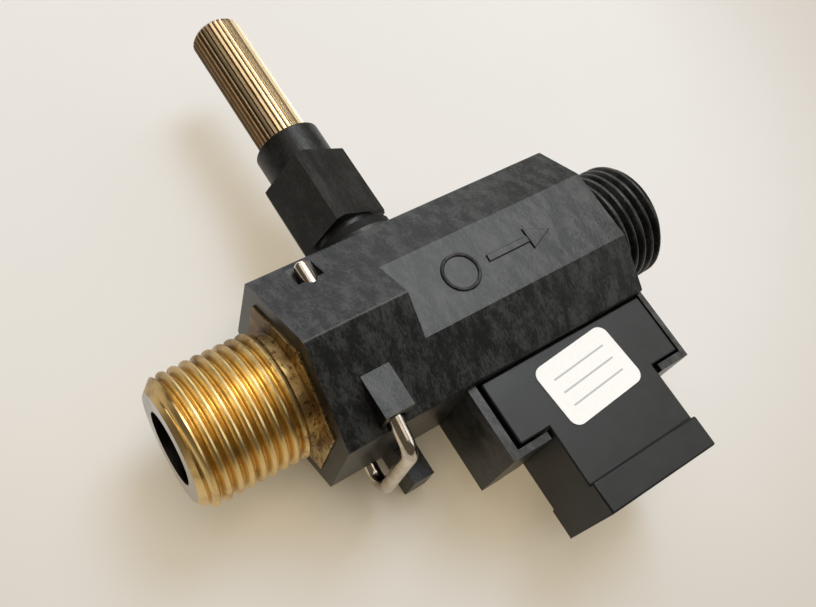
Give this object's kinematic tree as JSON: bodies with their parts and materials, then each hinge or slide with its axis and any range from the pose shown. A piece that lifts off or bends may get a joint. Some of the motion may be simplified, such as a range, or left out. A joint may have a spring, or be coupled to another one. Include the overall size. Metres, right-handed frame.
{
  "type": "boiler flow switch",
  "caption": "Hexagonal plastic water flow switch with brass threaded inlet, splined throttle spindle, inner magnetic turbine, side pickup with plug socket and threaded outlet.",
  "frame": {"origin": "centre of the inlet's threaded end", "axes": "+X along the flow from inlet to outlet, +Y along the spindle towards its splined end, +Z out of the label face of the pickup"},
  "size_m": [0.0883, 0.1054, 0.034],
  "materials": {
    "black_nylon": "glass-filled, fine mottled grain",
    "pickup_plastic": "smooth satin moulding",
    "brass": "turned, bright",
    "spindle_brass": "rolled splines, a little darkened in the grooves",
    "spring_steel": "drawn wire",
    "rubber": "smooth",
    "white_acetal": "natural moulding",
    "ferrite": "sintered",
    "board": "coated circuit board",
    "chip_case": "moulded case",
    "tinned_contact": "tinned",
    "label_paper": "coated paper"
  },
  "bodies": {
    "housing": {"body_housing": "black_nylon", "bonnet": "black_nylon", "bonnet_gasket": "rubber", "contact_pin_1": "tinned_contact", "contact_pin_2": "tinned_contact", "contact_pin_3": "tinned_contact", "guide_bush": "white_acetal", "inlet_fitting": "brass", "inlet_seal": "rubber", "inlet_strainer": "white_acetal", "inspection_label": "label_paper", "pickup_board": "board", "pickup_cover": "pickup_plastic", "pickup_housing": "pickup_plastic", "rear_bridge": "white_acetal", "retaining_clip": "spring_steel", "rotor_pin": "spring_steel", "sensor_chip": "chip_case", "snap_ring": "spring_steel", "swirl_guide": "white_acetal"},
    "spindle": {"spindle": "spindle_brass", "stem_seal": "rubber", "throttle_plug": "white_acetal"},
    "turbine": {"rotor": "white_acetal", "rotor_magnet": "ferrite"}
  },
  "joints": [
    {"name": "spindle_turn", "type": "hinge", "parent": "housing", "child": "spindle", "pos_m": [0.0411, 0.03, 0], "axis": [0, -1, 0], "range_deg": [0, 180]},
    {"name": "turbine_spin", "type": "hinge", "parent": "housing", "child": "turbine", "pos_m": [0.06, 0, 0], "axis": [1, 0, 0], "continuous": true}
  ]
}
